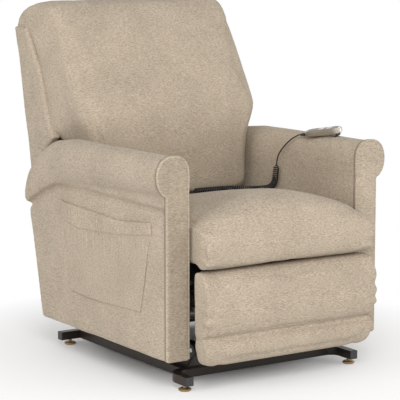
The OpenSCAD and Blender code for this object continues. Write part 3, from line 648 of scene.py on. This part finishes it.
def rising(values, start, over):
    """0 up to a start, then evenly up to 1. A negative distance lets it rise the other way."""
    return np.clip((values - start) / over, 0, 1)


def both_sides(line):
    """A line given for the left side of the chair, on the right and on the left."""
    return [[(side * x, y, z) for x, y, z in line] for side in (-1, 1)]


seat = cloth_over(("seat_cushion",), "seat_cushion_cover", SEAT_VOXEL)
ease(seat, rounds=3)
fill_out(seat, pressure=4.0, cap=0.002)
# The nose hangs lower over the footrest, and most of all at its two corners.
at = points_of(seat)
at[:, 2] -= SEAT_SINK * rising(at[:, 2], 0.42, 0.06)
forward = rising(at[:, 1], -0.435, -0.02)
end = rising(np.abs(at[:, 0]), 0.24, 0.045) ** 2
at[:, 2] -= (SEAT_NOSE_DROP + SEAT_CORNER_DROP * end) * rising(at[:, 2], 0.40, -0.03) * forward
at[:, 0] += np.sign(at[:, 0]) * SEAT_CORNER_OUT * end * forward
at[:, 1] -= SEAT_CORNER_FORWARD * end * forward
set_points(seat, at)
rounded(seat)
for line in both_sides(SEAT_PLEATS):
    puckered(seat, line, width=0.030, depth=0.0050, period=0.041)
dress(seat, "chair", "seat_cushion")

# ---- footrest ----------------------------------------------------------------
# A board wrapped in padding and cloth, which the linkage carries. A curved
# seam parts the panel from the lower roll, and the cover gathers at its ends.
FOOTREST_VOXEL = 0.006
FOOTREST_END_OUT, FOOTREST_CORNER_OUT, FOOTREST_END_FORWARD = 0.0060, 0.0110, 0.017
FOOTREST_LOW_DROP, FOOTREST_CORNER_DROP, FOOTREST_TOP_RISE = 0.007, 0.021, 0.006
FOOTREST_PLEATS = [(.288, -.505, .345), (.288, -.514, .250), (.288, -.505, .170)]
FOOTREST_SEAM = [(x, -0.504, 0.156 + 0.013 * (1 - (x / 0.28) ** 2))
                 for x in np.linspace(-0.29, 0.29, 25)]

footrest = cloth_over(("footrest_pad", "footrest_band", "footrest_board"), "footrest_cover",
                      FOOTREST_VOXEL)
ease(footrest, rounds=3)
fill_out(footrest, pressure=4.0, cap=0.003)
# The padding is fullest at the ends and along the bottom, next to the arms.
at = points_of(footrest)
end = rising(np.abs(at[:, 0]), 0.225, 0.05) ** 2
forward = rising(at[:, 1], -0.432, -0.015)
at[:, 0] += np.sign(at[:, 0]) * (FOOTREST_END_OUT + FOOTREST_CORNER_OUT * forward) * end
at[:, 1] -= FOOTREST_END_FORWARD * end * rising(at[:, 1], -0.45, -0.03)
at[:, 2] -= (FOOTREST_LOW_DROP + FOOTREST_CORNER_DROP * end) * rising(at[:, 2], 0.14, -0.04)
at[:, 2] += FOOTREST_TOP_RISE * rising(at[:, 2], 0.30, 0.03)
set_points(footrest, at)
rounded(footrest)
sewn(footrest, FOOTREST_SEAM, width=0.0042, depth=0.0085)
for line in both_sides(FOOTREST_PLEATS):
    puckered(footrest, line, width=0.020, depth=0.0042, period=0.044)
dress(footrest, "footrest", "footrest_pad", "footrest_band", "footrest_board")

# ---- back --------------------------------------------------------------------
# The back has one deep pillow that rolls over its top rail, two upholstered
# sides, and a flat outside panel.
BACK_VOXEL = 0.005
APRON_VOXEL = 0.004
PILLOW_FULL, PILLOW_SOFT = 0.0035, 0.004    # how far its cover stands out, near and off its rails
LOBE_BACK, LOBE_DROP = 0.016, 0.010         # its lower ends reach back under the sides
PILLOW_EDGE_OUT, PILLOW_LIP_DROP = 0.007, 0.006
PILLOW_BACK_EDGE = [(.295, .688), (.353, .838), (.432, .957)]
PILLOW_PLEATS = [(.318, .285, .705), (.318, .335, .838), (.316, .400, .950)]
WING_TOP_RISE, WING_TIP_FORWARD, WING_TIP_DROP = 0.008, 0.007, 0.004
OUTSIDE_LOW_X, OUTSIDE_WIDE_X = 0.2885, 0.3035     # half its width at the lower flap, and widened


def beside(points, y, z, reach):
    """1 on a line across the chair, fading to 0 beyond a distance."""
    return np.exp(-((points[:, 1] - y) ** 2 + (points[:, 2] - z) ** 2) / reach ** 2)


pillow = cloth_over(("back_cushion",), "back_cushion_cover", SEAT_VOXEL)
ease(pillow, rounds=3)
swelled(pillow, PILLOW_FULL)
firm = points_of(pillow)
ease(pillow, rounds=40)
swelled(pillow, PILLOW_SOFT)
# The face of the pillow is soft. Behind a line that leans back it stays firm.
height = firm[:, 2]
core = np.where(height < 0.7, 0.235 + (height - 0.43) * 0.12, 0.267 + (height - 0.7) * 0.42)
soft = np.clip((core + 0.03 - firm[:, 1]) / 0.06, 0, 1)[:, None]
set_points(pillow, firm * (1 - soft) + points_of(pillow) * soft)
fill_out(pillow, pressure=4.0, cap=0.006)
# Its lower ends and its back edges reach out to the upholstered sides.
at = points_of(pillow)
lobe = beside(at, 0.28, 0.66, 0.040) * (np.abs(at[:, 0]) > 0.285)
at[:, 1] += LOBE_BACK * lobe
at[:, 2] -= LOBE_DROP * lobe
edge, _ = along(at[:, 1:], PILLOW_BACK_EDGE)
at[:, 1] += PILLOW_EDGE_OUT * np.exp(-(edge / 0.02) ** 2) * (np.abs(at[:, 0]) > 0.30)
at[:, 2] -= PILLOW_LIP_DROP * rising(at[:, 1], 0.43, 0.02) * rising(at[:, 2], 0.985, -0.02)
set_points(pillow, at)
rounded(pillow)
for line in both_sides(PILLOW_PLEATS):
    puckered(pillow, line, width=0.024, depth=0.0016, period=0.023)
dress(pillow, "back", "back_cushion")

for word in ("right", "left"):
    wing = cloth_over((word + "_back_side",), word + "_back_side_cover", BACK_VOXEL)
    ease(wing, rounds=4)
    swelled(wing, 0.0025)
    # The top reaches under the pillow, and the lower front tip is tucked in.
    at = points_of(wing)
    at[:, 2] += WING_TOP_RISE * rising(at[:, 2], 0.91, 0.03)
    tip = beside(at, 0.28, 0.645, 0.025)
    at[:, 1] -= WING_TIP_FORWARD * tip
    at[:, 2] -= WING_TIP_DROP * tip
    set_points(wing, at)
    dress(wing, "back", word + "_back_side")

outside = cloth_over(("outside_back",), "outside_back_cover", BACK_VOXEL)
ease(outside, rounds=4)
swelled(outside, 0.0028)
# Beside the sides' lower corners the panel is as wide as they are.
at = points_of(outside)
reach = np.abs(at[:, 0])
beside_wing = rising(at[:, 2], 0.525, 0.015) * rising(reach, 0.26, 0.025) * (at[:, 2] < 0.635)
widened = np.maximum(0, OUTSIDE_WIDE_X - np.maximum(reach, OUTSIDE_LOW_X))
at[:, 0] = np.sign(at[:, 0]) * (reach + widened * beside_wing)
set_points(outside, at)
hand_made(outside, height=0.0008, length=0.25, seed=11)
dress(outside, "back", "outside_back")

apron = cloth_over(("rear_apron",), "rear_apron_cloth", APRON_VOXEL)
ease(apron, factor=0.4, rounds=2)
dress(apron, "chair", "rear_apron")

# ---- steel, frames and plastic -----------------------------------------------
# The lift base and linkages are powder coated, and the pins, bolts, springs
# and actuator tubes are zinc plated. Black dust cloth covers both frames.
HARD_FINISHES = {       # colour, roughness, metal, then the scale and height of the grain
    "bronze_powder_coat": ((0.027, 0.019, 0.014, 1), 0.36, 0.0, 1400, 0.0002),
    "zinc_plate": ((0.60, 0.60, 0.58, 1), 0.34, 1.0, 900, 0.0001),
    "bronze_glide": ((0.33, 0.22, 0.11, 1), 0.36, 0.7, 700, 0.0001),
    "black_plastic": ((0.028, 0.028, 0.030, 1), 0.46, 0.0, 1800, 0.0001),
    "silver_plastic": ((0.50, 0.46, 0.40, 1), 0.30, 0.75, 1800, 0.00005),
    "dark_bronze_face": ((0.115, 0.098, 0.078, 1), 0.28, 0.55, 1500, 0.00005),
    "bright_ring": ((0.78, 0.76, 0.72, 1), 0.25, 0.6, 900, 0.00003),
}
EDGE_BREAK = {"steel": 0.0011, "zinc": 0.0003, "timber": 0.0020, "glide": 0.0006,
              "black_plastic": 0.0006, "silver_plastic": 0.0009}
SHARP_EDGE = math.radians(50)       # edges that turn by more than this are broken


def plain_material(name, color, rough, metal, grain_scale, grain_height):
    """A hard finish with a fine grain in its surface and its gloss."""
    material, nodes, links = new_material(name)
    tree = material.node_tree
    shader = nodes["Principled BSDF"]
    place = nodes.new("ShaderNodeTexCoord").outputs["Object"]
    wide = noise(tree, place, 14.0, 3.0)
    rough_by = nodes.new("ShaderNodeMapRange")
    tint_by = nodes.new("ShaderNodeMapRange")
    tint = nodes.new("ShaderNodeHueSaturation")
    set_inputs(shader, {"Metallic": metal})
    set_inputs(rough_by, {"To Min": rough - 0.06, "To Max": rough + 0.08})
    set_inputs(tint_by, {"To Min": 0.85, "To Max": 1.15})
    set_inputs(tint, {"Color": color})
    links.new(wide, rough_by.inputs["Value"])
    links.new(wide, tint_by.inputs["Value"])
    links.new(tint_by.outputs["Result"], tint.inputs["Value"])
    links.new(rough_by.outputs["Result"], shader.inputs["Roughness"])
    links.new(tint.outputs["Color"], shader.inputs["Base Color"])
    in_relief(material, noise(tree, place, grain_scale, 3.0), strength=0.3, distance=grain_height)
    return material


hard = {name: plain_material(name, *finish) for name, finish in HARD_FINISHES.items()}
set_inputs(hard["bronze_powder_coat"].node_tree.nodes["Principled BSDF"],
           {"Specular IOR Level": 0.28})
FINISHES = {
    "steel": hard["bronze_powder_coat"],
    "zinc": hard["zinc_plate"],
    "glide": hard["bronze_glide"],
    "timber": lining_cloth,
    "black_plastic": hard["black_plastic"],
    "silver_plastic": hard["silver_plastic"],
    "cable": cable_sheath,
    "fabric": tweed_cloth,
}
for entry in frame["record"]["subparts"]:
    node = frame["nodes"][entry["node"]]
    slot = entry["material_slot"]
    node.data.materials.clear()
    node.data.materials.append(FINISHES[slot])
    if slot in EDGE_BREAK:
        joined = node.modifiers.new("joined", "WELD")
        joined.merge_threshold = SAME_PLACE
        broken = node.modifiers.new("edges", "BEVEL")
        broken.width = EDGE_BREAK[slot]
        broken.segments = 2
        broken.limit_method = "ANGLE"
        broken.angle_limit = SHARP_EDGE
frame["nodes"]["handset_lower_shell"].data.materials[0] = hard["silver_plastic"]

# ---- handset face ------------------------------------------------------------
# The handset's top carries a dark inlaid plate. A bright ring is pressed in
# round each of its two buttons.
HANDSET_AT = Vector((0.297, -0.163, 0.6553))
HANDSET_LEN, HANDSET_HALF, HANDSET_WAIST = 0.135, 0.020, 0.08
FACE_Z = 0.0089                     # the plate's underside above the handset's middle
FACE_THICK = 0.0008
FACE_INSET, FACE_MARGIN = 0.0065, 0.008     # from the handset's sides, and from its ends
RING_R, RING_WIRE_R, RING_RISE = 0.0088, 0.0011, 0.0006
BUTTONS = {"up": -0.062, "down": -0.092}    # along the handset from its upper end
turned = (Matrix.Rotation(math.radians(13), 4, "Z") @ Matrix.Rotation(math.radians(-9.5), 4, "X")
          @ Matrix.Rotation(math.radians(-13), 4, "Y"))
on_handset = Matrix.Translation(HANDSET_AT) @ turned

bpy.ops.mesh.primitive_circle_add(vertices=72, radius=1, fill_type="NGON", location=(0, 0, 0))
face = bpy.context.active_object
face.name = face.data.name = "handset_face"
for vertex in face.data.vertices:
    share = 0.5 - vertex.co.y / 2
    waist = 1 - HANDSET_WAIST + HANDSET_WAIST * math.cos(2 * math.pi * share)
    half = HANDSET_HALF * math.sqrt(max(0, 1 - (2 * share - 1) ** 6)) * waist
    across = math.copysign(max(0, half - FACE_INSET), vertex.co.x)
    vertex.co = (across if abs(vertex.co.x) > 1e-6 else 0,
                 -FACE_MARGIN - (HANDSET_LEN - 2 * FACE_MARGIN) * share, 0)
bpy.ops.object.mode_set(mode="EDIT")
bpy.ops.mesh.select_all(action="SELECT")
bpy.ops.mesh.extrude_region_move(TRANSFORM_OT_translate={"value": (0, 0, FACE_THICK)})
bpy.ops.mesh.select_all(action="SELECT")
bpy.ops.mesh.remove_doubles(threshold=1e-6)
bpy.ops.mesh.normals_make_consistent(inside=False)
bpy.ops.object.mode_set(mode="OBJECT")
face.data.transform(on_handset @ Matrix.Translation((0, 0, FACE_Z)))
face_break = face.modifiers.new("edges", "BEVEL")
face_break.width = 0.0003
face_break.segments = 2
bpy.ops.object.modifier_apply(modifier="edges")
dress(face, "handset", material=hard["dark_bronze_face"], slot="black_plastic")

for word, y in BUTTONS.items():
    bpy.ops.mesh.primitive_torus_add(major_segments=48, minor_segments=10, major_radius=RING_R,
                                     minor_radius=RING_WIRE_R, location=(0, 0, 0))
    ring = bpy.context.active_object
    ring.name = ring.data.name = word + "_button_ring"
    ring.data.transform(on_handset @ Matrix.Translation((0, y, FACE_Z + RING_RISE)))
    bpy.ops.object.shade_smooth()
    dress(ring, "handset", material=hard["bright_ring"], slot="silver_plastic")
